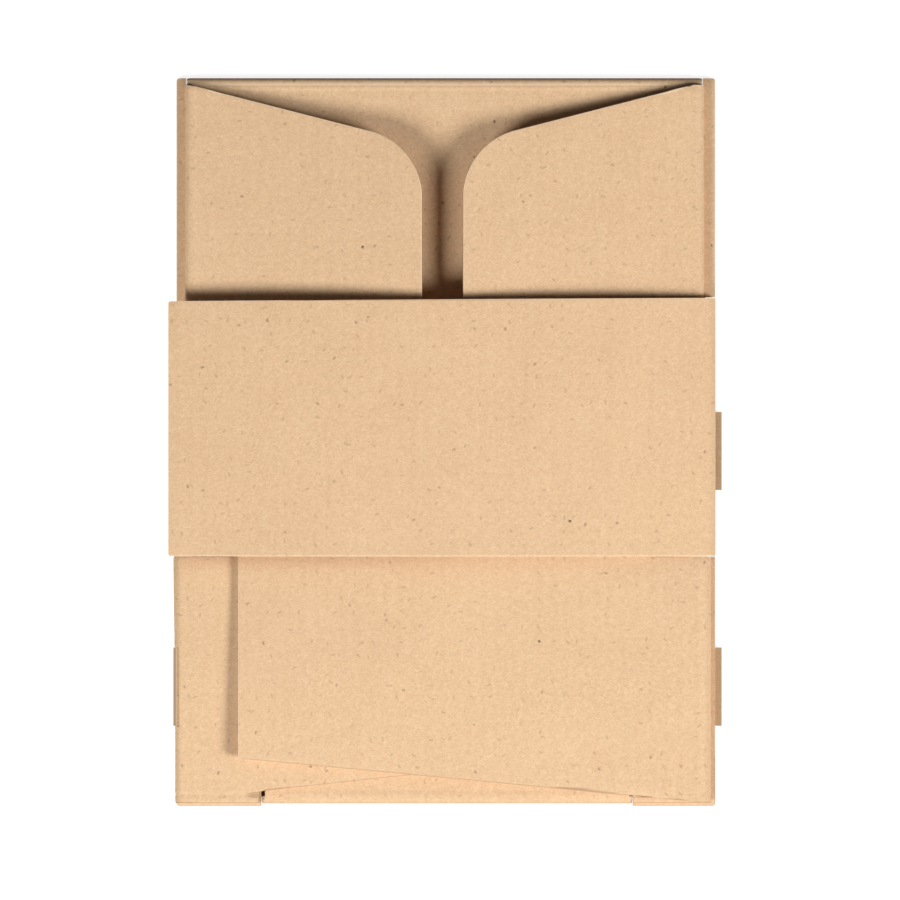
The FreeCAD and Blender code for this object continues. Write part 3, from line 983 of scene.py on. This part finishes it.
def board_edge(colours, sizes):
    """Cut edge of the board: two liners with the flutes and the gaps between them, the gaps painted dark as
    painted shade.
    """
    finish = Finish("fluted_cut_edge")
    place = finish.place()
    depth = finish.num(finish.node("ShaderNodeAttribute", {"attribute_name": "board_depth"}).outputs["Fac"])
    split = finish.node("ShaderNodeSeparateXYZ", None, i0=place)
    x = finish.num(split.outputs[0])
    wander = finish.noise(place, 160.0, 2.0, 0.5)
    wave = (x * (2 * math.pi / sizes.flute_pitch) + wander * 1.6).math("SINE")
    middle = wave * 0.33 + 0.5 + wander * 0.06
    flute = abs(depth - middle).below(0.095, 0.06)
    liners = abs(depth - 0.5).above(0.395, 0.05)
    paper = flute.math("MAXIMUM", liners)
    frayed = finish.noise(place, 900.0, 3.0, 0.6)
    paper = (paper + frayed * 0.35).clamped()
    # Painted shade: the gaps between the flutes are painted dark for the shade inside them
    hollow_shade = finish.mix((frayed * 0.8 + 0.35).clamped(), rgba(colours.cavity_shade), rgba(colours.kraft_dark))
    grain = paper_grain(finish, place)
    share = (grain + 0.5).clamped()
    cut_paper = finish.mix(share, rgba(colours.kraft_dark), rgba(colours.cut_paper))
    body = finish.mix(paper, hollow_shade, cut_paper)
    relief = paper + frayed * 0.3
    bump = finish.node("ShaderNodeBump", None, Height=relief, Strength=0.9, Distance=0.5 * MM)
    surface = finish.node("ShaderNodeBsdfPrincipled", None, Base_Color=body, Normal=bump.outputs[0])
    surface.inputs["Roughness"].default_value = 0.9
    surface.inputs["Specular IOR Level"].default_value = 0.15
    return finish.ends(surface)


def board_materials(context):
    """The two finishes of the board, made once and shared."""
    values = (context.scene.flat_box_colours, context.scene.flat_box)
    liner = bpy.data.materials.get("kraft_liner") or board_liner(*values)
    edge = bpy.data.materials.get("fluted_cut_edge") or board_edge(*values)
    return liner, edge


class FLATBOX_OT_finish_boards(bpy.types.Operator):
    """Let the free panels spring a little, and turn both sheets into corrugated board"""

    bl_idname = "flatbox.finish_boards"
    bl_label = "Board and finish"

    def execute(self, context):
        sizes = context.scene.flat_box
        plan = Plan(sizes)
        sheet = bpy.data.objects[SHEET]
        open_piece(sheet)
        low, high = plan.slit_edge, plan.flap_bottom
        cut_across(
            sheet,
            lambda m: m.z > plan.wall_z + MM,
            xs=spaced(plan.bottom_left, plan.bottom_right, 10 * MM),
            ys=spaced(low, high, 10 * MM) + spaced(plan.hidden_edge, plan.top_edge, 10 * MM),
        )
        steps = (0.5, 1.3, 2.3, 3.5, 5.0, 7.0)
        below_flap = [plan.flap_bottom - step * MM for step in steps]
        cut_across(sheet, lambda m: m.z > plan.wall_z + MM and m.y < 0, ys=below_flap)
        self.spring_ears(sheet, plan)
        flap = bpy.data.objects[FLAP]
        for piece in (sheet, flap):
            make_board(piece, sizes, plan, *board_materials(context))
        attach(sheet, BLANK_BODY)
        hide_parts("folded_blank")
        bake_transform(flap)
        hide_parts("closing_flap")
        return {"FINISHED"}

    def spring_ears(self, sheet, plan):
        """The long ears spring up below the flap that holds them, the right one's free corner most."""
        sizes = plan.sizes
        hinge = plan.bottom_right - plan.wide_reach
        free = plan.bottom_left + sizes.long_margin

        def corner_share(place):
            if place.z < plan.ear_z + 1 * MM or place.y > 0:
                return 0
            along = smooth_share(hinge - place.x, 0.3 * (hinge - free), hinge - free + 20 * MM)
            down = smooth_share(-place.y, -plan.flap_bottom, plan.half_length - 15 * MM)
            return along * down

        def ear_share(place):
            if place.y > 0:
                return 0
            layer = smooth_share(place.z, plan.wall_z, plan.ear_z)
            below = (plan.flap_bottom - place.y) / (9 * MM)
            leaving = 1 - (1 - min(max(below, 0), 1)) ** 2
            settling = 1 - smooth_share(-place.y, 0.6 * plan.half_length, plan.half_length)
            return layer * leaving * settling * (1 - 0.55 * smooth_share(place.x, -60 * MM, 40 * MM))

        def fold_share(place):
            if place.y > 0 or place.z < plan.wall_z + 0.3 * MM:
                return 0
            outward = smooth_share(plan.left_wall_side - place.x, 0, plan.reach)
            return outward * (1 - smooth_share(plan.flap_bottom - place.y, -10 * MM, 75 * MM))

        push(sheet, "X", -sizes.fold_bulge, fold_share)
        push(sheet, "Z", sizes.corner_spring, corner_share)
        push(sheet, "Z", sizes.ear_spring, ear_share)


def area_light(name, energy, size, direction, distance, colour_of_light):
    """Soft light that looks at the middle of the box from a direction."""
    bpy.ops.object.light_add(type="AREA", location=Vector(direction).normalized() * distance)
    light = bpy.context.object
    light.name = name
    light.data.shape = "DISK"
    light.data.size = size
    light.data.energy = energy
    light.data.color = colour_of_light
    light.rotation_euler = (-Vector(direction)).to_track_quat("-Z", "Y").to_euler()
    return light


class FLATBOX_OT_stage(bpy.types.Operator):
    """Set the pale floor, the soft lights and the camera straight above the box"""

    bl_idname = "flatbox.stage"
    bl_label = "Stage"

    def execute(self, context):
        start_object_mode()
        bpy.ops.mesh.primitive_plane_add(size=6, location=(0, 0, -0.05 * MM))
        floor = context.object
        floor.name = "floor"
        floor.data.materials.append(self.floor_paint(context.scene.flat_box_colours))

        for name, energy, direction in (
            ("key_lower_left", 38.0, (-0.611, -0.444, 0.656)),
            ("key_right", 44.5, (0.726, -0.293, 0.623)),
        ):
            area_light(name, energy, 0.92, direction, 2.3, (1.0, 0.99, 0.975))
        world = bpy.data.worlds.new("studio")
        context.scene.world = world
        world.use_nodes = True
        background = world.node_tree.nodes["Background"]
        background.inputs["Color"].default_value = (1.0, 1.0, 1.0, 1.0)
        background.inputs["Strength"].default_value = 0.045

        # The frame is 419 mm wide at the panels' level, 7 mm above the floor
        camera_height, panels_height, frame_width = 6.0, 7 * MM, 419 * MM
        place = (2.2 * MM, -3.7 * MM, camera_height)
        bpy.ops.object.camera_add(location=place, rotation=(0, 0, 0))
        camera = context.object
        camera.data.sensor_width = 36.0
        camera.data.lens = 36.0 * (camera_height - panels_height) / frame_width
        camera.data.clip_end = 20.0
        context.scene.camera = camera
        context.scene.view_settings.view_transform = "Standard"
        return {"FINISHED"}

    def floor_paint(self, colours):
        """White paper floor: seen as white by the camera, and still holding the box's shadow."""
        finish = Finish("floor_paper")
        grain = finish.noise(finish.node("ShaderNodeTexCoord").outputs["Object"], 600.0, 2.0)
        body = finish.mix((grain * 0.1 + 0.95).clamped(), (0.36, 0.36, 0.36, 1.0), rgba(colours.floor))
        paper = finish.node("ShaderNodeBsdfPrincipled", None, Base_Color=body, Roughness=0.9)
        glow = finish.node("ShaderNodeEmission", None, Color=(1.0, 1.0, 1.0, 1.0), Strength=0.85)
        both = finish.node("ShaderNodeAddShader", None, i0=paper.outputs[0], i1=glow.outputs[0])
        path = finish.node("ShaderNodeLightPath")
        seen = finish.num(path.outputs["Is Camera Ray"])
        for kind in ("Is Glossy Ray", "Is Transmission Ray"):
            seen = seen.math("MAXIMUM", finish.num(path.outputs[kind]))
        surface = finish.node("ShaderNodeMixShader", None, i0=seen, i1=paper.outputs[0], i2=both.outputs[0])
        return finish.ends(surface)


class FLATBOX_PT_panel(bpy.types.Panel):
    """Steps and sizes of the flattened box"""

    bl_idname = "FLATBOX_PT_panel"
    bl_label = "Flattened box"
    bl_space_type = "VIEW_3D"
    bl_region_type = "UI"
    bl_category = "Box"

    def draw(self, context):
        for step in STEPS:
            self.layout.operator(step.bl_idname)
        for group in (context.scene.flat_box, context.scene.flat_box_colours):
            for name in type(group).__annotations__:
                self.layout.prop(group, name)


STEPS = (
    FLATBOX_OT_base_panel,
    FLATBOX_OT_top_end,
    FLATBOX_OT_bottom_end,
    FLATBOX_OT_closing_flap,
    FLATBOX_OT_small_cuts,
    FLATBOX_OT_finish_boards,
    FLATBOX_OT_stage,
)
CLASSES = (BoxSizes, BoxColours, *STEPS, FLATBOX_PT_panel)


def register():
    for item in CLASSES:
        bpy.utils.register_class(item)
    bpy.types.Scene.flat_box = PointerProperty(type=BoxSizes)
    bpy.types.Scene.flat_box_colours = PointerProperty(type=BoxColours)


def unregister():
    del bpy.types.Scene.flat_box
    del bpy.types.Scene.flat_box_colours
    for item in reversed(CLASSES):
        bpy.utils.unregister_class(item)


def main():
    register()
    for step in STEPS:
        group, name = step.bl_idname.split(".")
        getattr(getattr(bpy.ops, group), name)()


if __name__ == "__main__":
    main()
